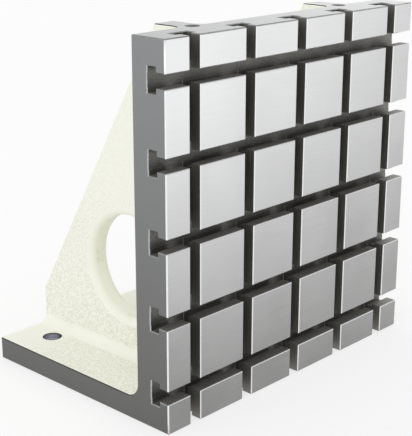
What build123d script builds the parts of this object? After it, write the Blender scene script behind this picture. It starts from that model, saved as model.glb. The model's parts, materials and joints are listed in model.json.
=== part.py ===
"""Angle plate: one iron casting whose upright face carries a grid of crossing T-slots.

Millimetres. +Z is up, X runs across the width, and the slotted face looks along -Y.
The origin is the centre of the footprint, on the base plane.
"""
from math import hypot
import os

from build123d import *

# Upright plate and foot
face_width = 500.0
face_height = 500.0
base_depth = 345.0
plate_thickness = 56.0
foot_thickness = 32.0
inner_corner_radius = 20.0

# T-slots
slot_columns = 5
slot_rows = 5
slot_pitch = 100.0
slot_throat = 18.0
slot_depth = 30.0
slot_head_width = 32.0
slot_head_height = 14.0
slot_mouth_chamfer = 1.0
slot_end_chamfer = 1.2
floor_groove_depth = 0.5

# Ribs
rib_spacing = 296.0
rib_thickness = 34.0
rib_top_depth = 49.0
rib_end_height = 57.0
rib_edge_radius = 2.0
rib_root_radius = 15.0

# Rib windows, by the iron left between them and the plate, the foot and the rib's sloping back
window_to_plate = 34.0
window_to_foot = 54.5
window_to_back = 46.0
window_rim_radius = 11.0

# Bolt holes through the foot
foot_hole_diameter = 26.0
foot_hole_from_side = 53.0
foot_hole_from_end = 52.0
foot_hole_chamfer = 1.0

# Lifting holes in the rib tops
lift_core_diameter = 17.5
lift_mouth_diameter = 20.5
lift_hole_depth = 45.0
lift_hole_from_face = 55.0

# Broken edges of the machined faces
edge_chamfer = 1.5
cast_edge_chamfer = 1.0

# Planes of the casting
side_x = face_width / 2
face_y = -base_depth / 2
end_y = base_depth / 2
plate_back_y = face_y + plate_thickness
rib_top_y = plate_back_y + rib_top_depth
rib_knee_z = foot_thickness + rib_end_height
foot_hole_y = end_y - foot_hole_from_end
foot_hole_spacing = face_width - 2 * foot_hole_from_side
lift_hole_y = face_y + lift_hole_from_face
slot_lip = slot_depth - slot_head_height

# Rib window: the circle that leaves the three webs, the last one square to the sloping back
back_run = end_y - rib_top_y
back_drop = face_height - rib_knee_z
back_length = hypot(back_run, back_drop)
web_corner_y = plate_back_y + window_to_plate
web_corner_z = foot_thickness + window_to_foot
web_corner_to_back = (
    (end_y - web_corner_y) * back_drop + (rib_knee_z - web_corner_z) * back_run
) / back_length
window_radius = (web_corner_to_back - window_to_back) / (1 + (back_run + back_drop) / back_length)

os.makedirs("parts", exist_ok=True)


def slopes_back(face):
    """True for the face that slopes down along the back of a rib."""
    normal = face.normal_at()
    return normal.Y > 0.1 and normal.Z > 0.1


def on_two_machined_planes(edge):
    """True for an edge where two machined outer planes of the casting meet."""
    box = edge.bounding_box()
    planes = [
        (box.min.X, box.max.X, -side_x),
        (box.min.X, box.max.X, side_x),
        (box.min.Y, box.max.Y, face_y),
        (box.min.Y, box.max.Y, end_y),
        (box.min.Z, box.max.Z, 0.0),
        (box.min.Z, box.max.Z, face_height),
    ]
    lies_on = [low for low, high, at in planes if abs(low - at) < 0.01 and abs(high - at) < 0.01]
    return len(lies_on) == 2


def on_rib_root(edge):
    """True for an edge where a rib leaves the plate, the foot or the corner between them."""
    middle = edge @ 0.5
    beside_rib = abs(abs(middle.X) - rib_spacing / 2) < rib_thickness / 2 + 0.01
    on_plate = abs(middle.Y - plate_back_y) < 0.01
    on_foot = abs(middle.Z - foot_thickness) < 0.01
    in_corner = (
        middle.Y < plate_back_y + inner_corner_radius
        and middle.Z < foot_thickness + inner_corner_radius
    )
    return beside_rib and (on_plate or on_foot or in_corner)


def on_cast_outline(edge):
    """True for an edge where the milled top or a milled side meets the cast faces behind the plate."""
    box = edge.bounding_box()
    behind_plate = box.min.Y > plate_back_y - 0.01 and box.min.Z > foot_thickness - 0.01
    on_top = box.min.Z > face_height - 0.01
    on_side = box.max.X < 0.01 - side_x or box.min.X > side_x - 0.01
    return behind_plate and (on_top or on_side)


# One rib, on the middle plane, reaching into the plate and the foot that it joins
with BuildPart() as rib:
    with BuildSketch(Plane.YZ):
        with BuildLine():
            Polyline(
                (face_y + plate_thickness / 2, foot_thickness / 2),
                (face_y + plate_thickness / 2, face_height),
                (rib_top_y, face_height),
                (end_y, rib_knee_z),
                (end_y, foot_thickness / 2),
                close=True,
            )
        make_face()
    extrude(amount=rib_thickness / 2, both=True)
    sloping_back = faces().filter_by(slopes_back)
    fillet(sloping_back.edges().filter_by(Axis.X, reverse=True), radius=rib_edge_radius)
    with BuildSketch(Plane.YZ):
        with Locations((web_corner_y + window_radius, web_corner_z + window_radius)):
            Circle(window_radius)
    extrude(amount=rib_thickness, both=True, mode=Mode.SUBTRACT)
    fillet(edges().filter_by(GeomType.CIRCLE).group_by(SortBy.RADIUS)[-1], radius=window_rim_radius)

# Section of a T-slot: X across the slot, Y into the plate, with the mouth at Y = 0
with BuildSketch() as slot_section:
    with BuildLine():
        Polyline(
            (0, -slot_mouth_chamfer),
            (slot_throat / 2 + slot_mouth_chamfer, -slot_mouth_chamfer),
            (slot_throat / 2 + slot_mouth_chamfer, 0),
            (slot_throat / 2, slot_mouth_chamfer),
            (slot_throat / 2, slot_lip),
            (slot_head_width / 2, slot_lip),
            (slot_head_width / 2, slot_depth),
            (slot_throat / 2, slot_depth),
            (slot_throat / 2, slot_depth + floor_groove_depth),
            (0, slot_depth + floor_groove_depth),
        )
        mirror(about=Plane.YZ)
    make_face()

# Cutter that breaks the edges of a slot's end, widening from the slot's section
with BuildPart() as slot_end:
    with BuildSketch():
        add(slot_section.sketch)
    with BuildSketch(Plane.XY.offset(slot_end_chamfer)):
        add(slot_section.sketch)
        offset(amount=slot_end_chamfer, kind=Kind.INTERSECTION)
    loft(ruled=True)

with BuildPart() as angle_plate:
    # Plate and foot
    with BuildSketch(Plane.YZ):
        with BuildLine():
            Polyline(
                (face_y, 0),
                (end_y, 0),
                (end_y, foot_thickness),
                (plate_back_y, foot_thickness),
                (plate_back_y, face_height),
                (face_y, face_height),
                close=True,
            )
        make_face()
        inner_corner = vertices().sort_by_distance((plate_back_y, foot_thickness))[0]
        fillet(inner_corner, radius=inner_corner_radius)
    extrude(amount=side_x, both=True)

    # Ribs and their cast roots, which run out of the foot's milled end
    with Locations((-rib_spacing / 2, 0, 0), (rib_spacing / 2, 0, 0)):
        add(rib.part)
    fillet(edges().filter_by(on_rib_root), radius=rib_root_radius)

    # Broken edges of the machined faces, along the cast faces and among themselves
    chamfer(edges().filter_by(on_cast_outline), length=cast_edge_chamfer)
    chamfer(edges().filter_by(on_two_machined_planes), length=edge_chamfer)

    # Upright and level T-slots, open at both ends
    with BuildSketch():
        with Locations((0, face_y)):
            with GridLocations(slot_pitch, 0, slot_columns, 1):
                add(slot_section.sketch)
    extrude(amount=face_height, mode=Mode.SUBTRACT)
    with BuildSketch(Plane.YZ):
        with Locations((face_y, face_height / 2)):
            with GridLocations(0, slot_pitch, 1, slot_rows):
                add(slot_section.sketch, rotation=-90)
    extrude(amount=side_x, both=True, mode=Mode.SUBTRACT)

    # Broken edges at the slots' ends: top, right, base and left
    for turn, reach, count in (
        (0, face_height / 2, slot_columns),
        (90, side_x, slot_rows),
        (180, face_height / 2, slot_columns),
        (270, side_x, slot_rows),
    ):
        with Locations(Location((0, face_y, face_height / 2), (0, turn, 0))):
            with Locations((0, 0, reach - slot_end_chamfer)):
                with GridLocations(slot_pitch, 0, count, 1):
                    add(slot_end.part, mode=Mode.SUBTRACT)

    # Bolt holes through the foot
    with Locations((0, foot_hole_y, foot_thickness)):
        with GridLocations(foot_hole_spacing, 0, 2, 1):
            Hole(foot_hole_diameter / 2, depth=foot_thickness)
    chamfer(edges(Select.LAST).filter_by(GeomType.CIRCLE), length=foot_hole_chamfer)

    # Lifting holes in the rib tops, drilled to the core of their thread
    with Locations((0, lift_hole_y, face_height)):
        with GridLocations(rib_spacing, 0, 2, 1):
            CounterSinkHole(
                lift_core_diameter / 2,
                lift_mouth_diameter / 2,
                depth=lift_hole_depth,
                counter_sink_angle=90,
            )

angle_plate.part.label = "angle_plate"
export_step(angle_plate.part, "parts/angle_plate.step")
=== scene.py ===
"""Looks of the angle plate: finishes, tapped holes, floor, light and camera.

Metres, in the CAD model's frame.
"""
import json
from math import cos, hypot, pi, radians, sin, tan

import bpy
from mathutils import Matrix, Vector

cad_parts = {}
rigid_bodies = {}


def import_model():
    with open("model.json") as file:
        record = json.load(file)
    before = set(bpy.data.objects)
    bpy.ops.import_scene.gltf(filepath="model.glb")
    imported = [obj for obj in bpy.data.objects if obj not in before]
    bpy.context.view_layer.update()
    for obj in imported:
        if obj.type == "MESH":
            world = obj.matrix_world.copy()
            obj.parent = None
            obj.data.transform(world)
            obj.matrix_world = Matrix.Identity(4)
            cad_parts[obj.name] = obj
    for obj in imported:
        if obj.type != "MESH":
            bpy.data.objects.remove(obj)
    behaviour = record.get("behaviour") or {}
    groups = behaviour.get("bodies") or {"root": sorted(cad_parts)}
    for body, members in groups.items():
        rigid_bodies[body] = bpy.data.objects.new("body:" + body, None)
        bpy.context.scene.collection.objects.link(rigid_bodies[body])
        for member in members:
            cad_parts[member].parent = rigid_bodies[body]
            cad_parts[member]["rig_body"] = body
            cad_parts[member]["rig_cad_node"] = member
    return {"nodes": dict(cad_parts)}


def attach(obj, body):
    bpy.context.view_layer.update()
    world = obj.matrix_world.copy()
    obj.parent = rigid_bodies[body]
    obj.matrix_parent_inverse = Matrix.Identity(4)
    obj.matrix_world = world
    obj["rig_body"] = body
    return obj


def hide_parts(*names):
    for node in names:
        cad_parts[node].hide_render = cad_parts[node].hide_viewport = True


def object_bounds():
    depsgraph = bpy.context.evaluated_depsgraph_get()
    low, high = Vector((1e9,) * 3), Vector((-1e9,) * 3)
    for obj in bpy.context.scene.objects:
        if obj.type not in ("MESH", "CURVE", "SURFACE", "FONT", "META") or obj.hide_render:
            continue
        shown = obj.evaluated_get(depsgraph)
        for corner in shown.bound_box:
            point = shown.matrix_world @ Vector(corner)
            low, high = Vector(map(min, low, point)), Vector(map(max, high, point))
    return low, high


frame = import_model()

cad_low, cad_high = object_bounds()
mm = 0.001

# Planes and places of the casting
side_x = cad_high.x
face_y = cad_low.y
end_y = cad_high.y
top_z = cad_high.z
plate_back_y = face_y + 56 * mm
slot_floor_y = face_y + 30.5 * mm
groove_depth = 0.5 * mm
edge_chamfer = 1.5 * mm
cast_edge_chamfer = 1.0 * mm
foot_top_z = 32 * mm
foot_hole_x = side_x - 53 * mm
foot_hole_y = end_y - 52 * mm
foot_hole_mouth = 14 * mm
lift_hole_x = 148 * mm
lift_hole_y = face_y + 55 * mm
lift_hole_mouth = 10.25 * mm
lift_hole_depth = 45 * mm

# Thread of the lifting holes, M20 by 2.5
thread_pitch = 2.5 * mm
thread_outer = 10.0 * mm
thread_inner = 8.65 * mm
thread_flank_angle = radians(30)
thread_bottom_z = top_z - 40 * mm
thread_turns = 18
thread_steps = 48

# How faces are told apart: reach of a plane, and cosines of slanting and square faces
near = 0.05 * mm
slanting = 0.5
square_on = 0.8
smooth_angle = radians(38)

# Sweep of the face mill that cut the sides and the top
mill_radius = 250 * mm
side_feed = 3.0 * mm
top_feed = 1.6 * mm

# Floor, sky and lamp
floor_size = 60
floor_tone = 0.95
floor_lift = 0.7
sky_light = 0.88
sky_shown = 1.0
ceiling_dip = 0.5
ceiling_low = 0.36
ceiling_high = 0.68
lamp_energy = 0.45
lamp_spread = radians(80)
lamp_azimuth = radians(-25)
lamp_elevation = radians(32)

# Place of the camera
camera_eye = (-1.147986, -1.083814, 0.687861)
camera_azimuth = radians(-46.684)
camera_elevation = radians(17.365)
camera_roll = radians(0.061)
camera_focal_px = 1128.244
photo_height_px = 436


class Wire:
    """A socket in a node tree. Sums and products of wires and numbers add their Math nodes."""

    def __init__(self, tree, socket=None):
        self.tree = tree
        self.socket = socket

    def node(self, kind, settings=None, sockets=None, output=0):
        made = self.tree.nodes.new(kind)
        for name, value in (settings or {}).items():
            setattr(made, name, value)
        for name, value in (sockets or {}).items():
            self.feed(made.inputs[name], value)
        return Wire(self.tree, made.outputs[output])

    def feed(self, socket, value):
        if isinstance(value, Wire):
            self.tree.links.new(value.socket, socket)
        else:
            socket.default_value = value

    def maths(self, operation, *values):
        return self.node("ShaderNodeMath", {"operation": operation}, dict(enumerate(values)))

    def __add__(self, other):
        return self.maths("ADD", self, other)

    def __radd__(self, other):
        return self.maths("ADD", other, self)

    def __sub__(self, other):
        return self.maths("SUBTRACT", self, other)

    def __rsub__(self, other):
        return self.maths("SUBTRACT", other, self)

    def __mul__(self, other):
        return self.maths("MULTIPLY", self, other)

    def __rmul__(self, other):
        return self.maths("MULTIPLY", other, self)

    def axis(self, name):
        return self.node("ShaderNodeSeparateXYZ", sockets={0: self}, output=name)

    def stretched(self, x, y, z):
        factors = {0: self, 1: (x, y, z)}
        return self.node("ShaderNodeVectorMath", {"operation": "MULTIPLY"}, factors)

    def noise(self, scale, detail=3.0):
        sockets = {"Vector": self, "Scale": scale, "Detail": detail}
        return self.node("ShaderNodeTexNoise", sockets=sockets, output="Fac")

    def smooth_step(self, low, high):
        settings = {"interpolation_type": "SMOOTHSTEP"}
        sockets = {"Value": self, "From Min": low, "From Max": high}
        return self.node("ShaderNodeMapRange", settings, sockets)

    def between(self, low_colour, high_colour):
        sockets = {0: self, 6: (*low_colour, 1.0), 7: (*high_colour, 1.0)}
        return self.node("ShaderNodeMix", {"data_type": "RGBA"}, sockets, output=2)

    def bumps(self, strength, distance):
        sockets = {"Strength": strength, "Distance": distance, "Height": self}
        return self.node("ShaderNodeBump", sockets=sockets, output="Normal")


def new_finish(name, metallic=1.0):
    """A material with its shader, and a wire that holds the place on the piece."""
    material = bpy.data.materials.new(name)
    material.use_nodes = True
    tree = material.node_tree
    shader = tree.nodes["Principled BSDF"]
    shader.inputs["Metallic"].default_value = metallic
    place = Wire(tree).node("ShaderNodeTexCoord", output="Object")
    return material, shader, place


def dress(shader, place, colour, roughness, normal):
    place.feed(shader.inputs["Base Color"], colour)
    place.feed(shader.inputs["Roughness"], roughness)
    place.feed(shader.inputs["Normal"], normal)


def feed_marks(place, travel, feed):
    """Faint arcs that a face mill leaves as it travels along one axis."""
    offset = place.axis("Y")
    arc = place.maths("SQRT", mill_radius * mill_radius - offset * offset)
    wave = place.maths("SINE", (place.axis(travel) + arc) * (2 * pi / feed))
    return wave * 0.5 + 0.5


def lined_iron(name, dark, light):
    """Milled iron of a slot, with cutter lines along it."""
    material, shader, place = new_finish(name)
    lines = place.stretched(20, 900, 20).noise(1.0)
    clouds = place.noise(30.0)
    tone = (lines * 0.6 + clouds * 0.4).smooth_step(0.3, 0.7)
    colour = tone.between(dark, light)
    dress(shader, place, colour, 0.52 + lines * 0.14, lines.bumps(0.25, 0.05 * mm))
    return material


def clouded_iron(name, dark, light, roughness, spread=0.12, scale=120.0, depth=0.05 * mm):
    """Bare iron whose tone, gloss and height drift in soft clouds."""
    material, shader, place = new_finish(name)
    clouds = place.noise(scale)
    colour = clouds.smooth_step(0.3, 0.7).between(dark, light)
    dress(shader, place, colour, roughness + clouds * spread, clouds.bumps(0.1, depth))
    return material


def ground_face():
    """Bright ground iron of the slotted face, with faint grinding lines; painted reflection makes it
    darker towards the base and towards +X.
    """
    material, shader, place = new_finish("ground_face")
    lines = place.stretched(14, 1, 1500).noise(1.0)
    clouds = place.noise(9.0)
    shade = clouds * 0.6 + lines * 0.4
    # Painted reflection: the colour darkens towards the base and, higher up, towards +X, as if the face
    # mirrored a darker floor.
    height = place.axis("Z").smooth_step(-0.06, 0.54)
    painted_reflection_across = place.axis("X") * (0.2 - 1.1 * height)
    bright = 0.88 * height + painted_reflection_across + 0.12 * (shade.smooth_step(0.3, 0.7) - 0.5)
    colour = bright.between((0.315, 0.313, 0.31), (0.915, 0.92, 0.925))
    roughness = 0.30 + clouds * 0.06 + lines * 0.05
    dress(shader, place, colour, roughness, lines.bumps(0.06, 0.02 * mm))
    return material


def slot_floors():
    """Milled floors of the T-slots, dull, with specks and cloudy cutter marks."""
    material, shader, place = new_finish("slot_floors")
    lines = place.stretched(20, 900, 20).noise(1.0)
    clouds = place.noise(30.0)
    specks = place.noise(450.0, detail=2.0)
    tone = (lines * 0.2 + clouds * 0.4 + specks * 0.4).smooth_step(0.35, 0.65)
    colour = tone.between((0.15, 0.148, 0.14), (0.27, 0.267, 0.252))
    dress(shader, place, colour, 0.40 + lines * 0.12, clouds.bumps(0.2, 0.05 * mm))
    return material


def slot_walls():
    """Walls of the T-slots, rougher than the floors."""
    return lined_iron("slot_walls", (0.26, 0.25, 0.23), (0.36, 0.35, 0.325))


def slot_lips():
    """Tops of the slots' lips: the walls' milled iron, painted lighter as if lit from above."""
    return lined_iron("slot_lips", (0.40, 0.385, 0.36), (0.52, 0.505, 0.475))


def groove_highlights():
    """Sides of the grooves in the slots' floors, painted near-white as highlights."""
    return clouded_iron("groove_highlights", (0.92, 0.92, 0.91), (0.98, 0.98, 0.97), 0.55, spread=0.15)


def milled_sides():
    """Milled sides, base and foot end, duller than the ground face, with painted shade darkening them
    towards the bottom.
    """
    material, shader, place = new_finish("milled_sides")
    marks = feed_marks(place, "Z", side_feed)
    clouds = place.noise(14.0, detail=4.0)
    streaks = place.stretched(40, 40, 600).noise(1.0)
    # Painted shade: the colour grows darker towards the bottom.
    height = place.axis("Z").smooth_step(-0.12, 0.6)
    shade = height + (marks * 0.06 + clouds * 0.1 + streaks * 0.07 - 0.115)
    colour = shade.between((0.155, 0.154, 0.148), (0.315, 0.323, 0.328))
    roughness = 0.42 + clouds * 0.1 + marks * 0.03
    dress(shader, place, colour, roughness, (marks * 0.3 + streaks * 0.4).bumps(0.08, 0.03 * mm))
    return material


def milled_top():
    """Milled top of the plate and the ribs, brighter than the sides, with a painted reflection
    lightening it towards +X.
    """
    material, shader, place = new_finish("milled_top")
    marks = feed_marks(place, "X", top_feed)
    clouds = place.noise(18.0)
    worn = (marks * 0.3 + clouds * 0.7).smooth_step(0.25, 0.75)
    # Painted reflection: the top's colour lightens towards +X.
    tone = worn * 0.3 + (place.axis("X") * 1.4 + 0.35)
    colour = tone.between((0.56, 0.565, 0.56), (0.96, 0.965, 0.97))
    dress(shader, place, colour, 0.36 + clouds * 0.1, marks.bumps(0.1, 0.03 * mm))
    return material


def broken_edges():
    """Filed chamfers of the outer edges."""
    return clouded_iron("broken_edges", (0.42, 0.43, 0.43), (0.52, 0.53, 0.53), 0.26)


def bright_edges():
    """Fresh chamfers along the slotted face."""
    return clouded_iron("bright_edges", (0.90, 0.91, 0.92), (0.96, 0.97, 0.98), 0.22)


def bare_edges_and_contact_shadow():
    """Dark bare iron at the edges of the paint and at the foot holes; along the base, painted contact
    shadow.
    """
    return clouded_iron("bare_edges_and_contact_shadow", (0.035, 0.035, 0.033), (0.06, 0.06, 0.057), 0.4)


def bored_holes():
    """Bare drilled iron of the foot holes, with rings from the drill."""
    material, shader, place = new_finish("bored_holes")
    rings = place.stretched(10, 10, 1400).noise(1.0)
    colour = rings.smooth_step(0.3, 0.7).between((0.60, 0.60, 0.65), (0.74, 0.74, 0.79))
    dress(shader, place, colour, 0.20 + rings * 0.12, rings.bumps(0.3, 0.06 * mm))
    return material


def tapped_holes():
    """Dark cut thread of the lifting holes."""
    dark, light = (0.36, 0.36, 0.355), (0.46, 0.46, 0.455)
    return clouded_iron("tapped_holes", dark, light, 0.34, spread=0.14, scale=400.0, depth=0.04 * mm)


def ivory_paint():
    """Ivory paint on the cast faces: pebbled on the flats, smooth over the roundings, with painted shade
    in the pits.
    """
    material, shader, place = new_finish("ivory_paint", metallic=0.0)
    normal = place.node("ShaderNodeNewGeometry", output="Normal")
    flat = place.maths("ABSOLUTE", normal.axis("X"))
    for name in ("Y", "Z"):
        flat = place.maths("MAXIMUM", flat, place.maths("ABSOLUTE", normal.axis(name)))
    flat = flat.smooth_step(0.975, 0.999)
    scaled = {"Vector": place, "Scale": 320.0}
    pebbles = place.node("ShaderNodeTexVoronoi", sockets=scaled, output="Distance").smooth_step(0.0, 0.7)
    # Painted shade darkens the pebbles' pits on the flats, strongest low down and weakest towards the
    # foot's end.
    low = 1 - place.axis("Z").smooth_step(0.08, 0.30)
    patches = place.noise(16.0, detail=2.0).smooth_step(0.35, 0.65)
    on_foot = 1 - place.axis("Z").smooth_step(0.034, 0.045)
    foot_end = place.axis("Y").smooth_step(0.06, 0.15) * on_foot
    painted_pit_shade = (0.15 + 0.65 * low + 0.15 * patches) * (1 - 0.9 * foot_end) * flat
    waves = place.noise(22.0, detail=2.0)
    tone = 0.92 + 0.16 * (place.noise(5.0) - 0.5) - painted_pit_shade * (1 - pebbles)
    colour = tone.between((0.70, 0.705, 0.60), (0.945, 0.95, 0.855))
    height = pebbles * (0.05 + 0.95 * flat) * 0.3 + waves * 0.6
    dress(shader, place, colour, 0.42 + pebbles * 0.1, height.bumps(0.6, 0.9 * mm))
    return material


finishes = (
    ivory_paint,
    ground_face,
    slot_floors,
    slot_walls,
    slot_lips,
    groove_highlights,
    milled_sides,
    milled_top,
    broken_edges,
    bright_edges,
    bare_edges_and_contact_shadow,
    bored_holes,
    tapped_holes,
)


def only(piece):
    """Selects one piece and nothing else."""
    bpy.ops.object.select_all(action="DESELECT")
    piece.select_set(True)
    bpy.context.view_layer.objects.active = piece


def apply_modifier(piece, kind, **settings):
    only(piece)
    modifier = piece.modifiers.new(kind.lower(), kind)
    for name, value in settings.items():
        setattr(modifier, name, value)
    bpy.ops.object.modifier_apply(modifier=modifier.name)


def cast_copy():
    """A merged copy of the CAD casting."""
    node = frame["nodes"]["angle_plate"]
    piece = node.copy()
    piece.data = node.data.copy()
    piece.name = "dressed_casting"
    piece.parent = None
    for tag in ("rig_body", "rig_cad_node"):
        del piece[tag]
    bpy.context.scene.collection.objects.link(piece)
    only(piece)
    bpy.ops.object.mode_set(mode="EDIT")
    bpy.ops.mesh.select_all(action="SELECT")
    bpy.ops.mesh.remove_doubles(threshold=0.002 * mm)
    bpy.ops.mesh.customdata_custom_splitnormals_clear()
    bpy.ops.object.mode_set(mode="OBJECT")
    return piece


def screw_tap(x):
    """A threaded rod that cuts the thread of one lifting hole, from one turn of its outline."""
    depth = thread_outer - thread_inner
    flank = depth * tan(thread_flank_angle)
    crest = thread_pitch / 8
    root = thread_pitch - crest - 2 * flank
    bpy.ops.mesh.primitive_plane_add(size=thread_pitch, location=(0, 0, 0))
    rod = bpy.context.active_object
    bpy.ops.object.mode_set(mode="EDIT")
    bpy.ops.mesh.select_all(action="SELECT")
    bpy.ops.mesh.merge(type="CENTER")
    bpy.ops.transform.translate(value=(thread_inner, 0, 0))
    for outwards, upwards in ((0, root), (depth, flank), (0, crest), (-depth, flank)):
        bpy.ops.mesh.extrude_region_move(TRANSFORM_OT_translate={"value": (outwards, 0, upwards)})
    bpy.ops.object.mode_set(mode="OBJECT")
    apply_modifier(
        rod, "SCREW", angle=2 * pi, screw_offset=thread_pitch, iterations=thread_turns,
        steps=thread_steps, render_steps=thread_steps,
    )
    bpy.ops.object.mode_set(mode="EDIT")
    bpy.ops.mesh.select_all(action="SELECT")
    bpy.ops.mesh.remove_doubles(threshold=0.005 * mm)
    bpy.ops.mesh.fill_holes(sides=0)
    bpy.ops.mesh.select_all(action="SELECT")
    bpy.ops.mesh.quads_convert_to_tris()
    bpy.ops.mesh.normals_make_consistent(inside=False)
    bpy.ops.transform.translate(value=(x, lift_hole_y, thread_bottom_z))
    bpy.ops.object.mode_set(mode="OBJECT")
    return rod


def tap_lifting_holes(piece):
    for x in (-lift_hole_x, lift_hole_x):
        rod = screw_tap(x)
        apply_modifier(piece, "BOOLEAN", object=rod, operation="DIFFERENCE", solver="EXACT")
        bpy.data.objects.remove(rod)


def edge_finish(x, y, z):
    """The finish of a slanting face if it is a broken edge of the casting, and otherwise None."""
    outermost = max(x - side_x, z - top_z)
    # Chamfers along the base: dark as painted contact shadow.
    if z < edge_chamfer:
        return bare_edges_and_contact_shadow
    if y < face_y + edge_chamfer:
        return broken_edges if z > top_z - edge_chamfer else bright_edges
    if y > plate_back_y and z > foot_top_z - cast_edge_chamfer:
        return bare_edges_and_contact_shadow if outermost > -cast_edge_chamfer else ivory_paint
    if max(outermost, y - end_y) > -edge_chamfer:
        return broken_edges
    return None


def slot_finish(y, normal):
    """The finish of a face inside the T-slots."""
    if normal.y < -square_on:
        return slot_floors
    # Groove sides take a painted highlight.
    if y > slot_floor_y - groove_depth - near and abs(normal.x) > square_on:
        return groove_highlights
    # Up-facing lips get the lighter copy of the slot iron: painted light.
    return slot_lips if normal.z > square_on else slot_walls


def finish_of(centre, normal):
    """The finish of a face, from its place and the way it looks."""
    x, y, z = abs(centre.x), centre.y, centre.z
    from_lift_hole = hypot(x - lift_hole_x, y - lift_hole_y)
    from_foot_hole = hypot(x - foot_hole_x, y - foot_hole_y)
    lift_hole_end_z = top_z - lift_hole_depth
    if from_lift_hole < lift_hole_mouth + near and lift_hole_end_z - near < z < top_z - near:
        return tapped_holes
    if from_foot_hole < foot_hole_mouth + near and near < z < foot_top_z - near:
        return bare_edges_and_contact_shadow if abs(normal.z) > slanting else bored_holes
    if y < face_y + near:
        return ground_face
    if z > top_z - near:
        return milled_top
    if x > side_x - near or z < near or y > end_y - near:
        return milled_sides
    on_edge = None
    if slanting < max(abs(part) for part in normal) < square_on:
        on_edge = edge_finish(x, y, z)
    if on_edge:
        return on_edge
    return slot_finish(y, normal) if y < slot_floor_y + near else ivory_paint


def dress_casting(piece):
    """Gives each face of the casting its finish, and smooths the roundings."""
    piece.data.materials.clear()
    for make_finish in finishes:
        piece.data.materials.append(make_finish())
    for face in piece.data.polygons:
        face.material_index = finishes.index(finish_of(face.center, face.normal))
    only(piece)
    bpy.ops.object.shade_smooth_by_angle(angle=smooth_angle)
    apply_modifier(piece, "WEIGHTED_NORMAL", keep_sharp=True)


def shown_rays(tree):
    """One for the rays that show the background, directly or in metal and glass."""
    camera, glossy, through = (
        Wire(tree).node("ShaderNodeLightPath", output=f"Is {kind} Ray")
        for kind in ("Camera", "Glossy", "Transmission")
    )
    return camera.maths("MAXIMUM", camera.maths("MAXIMUM", camera, glossy), through)


def pale_floor():
    """A white floor that keeps the shadow."""
    bpy.ops.mesh.primitive_plane_add(size=floor_size, location=(0, 0, 0))
    floor = bpy.context.active_object
    floor.name = "floor"
    material = bpy.data.materials.new("floor_white")
    material.use_nodes = True
    tree = material.node_tree
    shader = tree.nodes["Principled BSDF"]
    shader.inputs["Base Color"].default_value = (floor_tone, floor_tone, floor_tone, 1.0)
    shader.inputs["Roughness"].default_value = 1.0
    shader.inputs["Specular IOR Level"].default_value = 0.0
    shown = shown_rays(tree)
    white = shown.node("ShaderNodeEmission", sockets={"Color": (1, 1, 1, 1), "Strength": 1.0})
    lifted = {0: floor_lift * shown, 1: Wire(tree, shader.outputs[0]), 2: white}
    surface = shown.node("ShaderNodeMixShader", sockets=lifted)
    shown.feed(tree.nodes["Material Output"].inputs["Surface"], surface)
    floor.data.materials.append(material)


def studio_light():
    """Even light all round, dimmed overhead in reflections, and a broad soft lamp at the front left."""
    world = bpy.data.worlds.new("studio")
    bpy.context.scene.world = world
    world.use_nodes = True
    tree = world.node_tree
    background = tree.nodes["Background"]
    shown = shown_rays(tree)
    rise = Wire(tree).node("ShaderNodeTexCoord", output="Generated").axis("Z")
    dim_ceiling = ceiling_dip * rise.smooth_step(ceiling_low, ceiling_high)
    strength = sky_light + shown * (sky_shown - sky_light - dim_ceiling)
    shown.feed(background.inputs["Strength"], strength)
    background.inputs["Color"].default_value = (1, 1, 1, 1)

    lamp = bpy.data.lights.new("soft_lamp", "SUN")
    lamp.energy = lamp_energy
    lamp.angle = lamp_spread
    lamp_object = bpy.data.objects.new("soft_lamp", lamp)
    level = cos(lamp_elevation)
    towards_lamp = Vector((-cos(lamp_azimuth) * level, sin(lamp_azimuth) * level, sin(lamp_elevation)))
    lamp_object.rotation_mode = "QUATERNION"
    lamp_object.rotation_quaternion = towards_lamp.to_track_quat("Z", "Y")
    bpy.context.scene.collection.objects.link(lamp_object)


def photo_camera():
    """The camera at the place that was fitted to the photograph."""
    azimuth, elevation, roll = camera_azimuth, camera_elevation, camera_roll
    right = Vector((cos(azimuth), sin(azimuth), 0))
    back = Vector((sin(azimuth) * cos(elevation), -cos(azimuth) * cos(elevation), sin(elevation)))
    up = back.cross(right)
    right, up = cos(roll) * right + sin(roll) * up, cos(roll) * up - sin(roll) * right
    camera = bpy.data.cameras.new("camera")
    camera.sensor_width = 36
    camera.lens = camera_focal_px * camera.sensor_width / photo_height_px
    camera.clip_start = 0.01
    camera.clip_end = 200
    eye = bpy.data.objects.new("camera", camera)
    turned = Matrix((right, up, back)).transposed()
    eye.matrix_world = Matrix.Translation(camera_eye) @ turned.to_4x4()
    bpy.context.scene.collection.objects.link(eye)
    bpy.context.scene.camera = eye


casting = cast_copy()
tap_lifting_holes(casting)
dress_casting(casting)
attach(casting, "root")
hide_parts("angle_plate")
pale_floor()
studio_light()
photo_camera()
bpy.context.scene.view_settings.view_transform = "Standard"
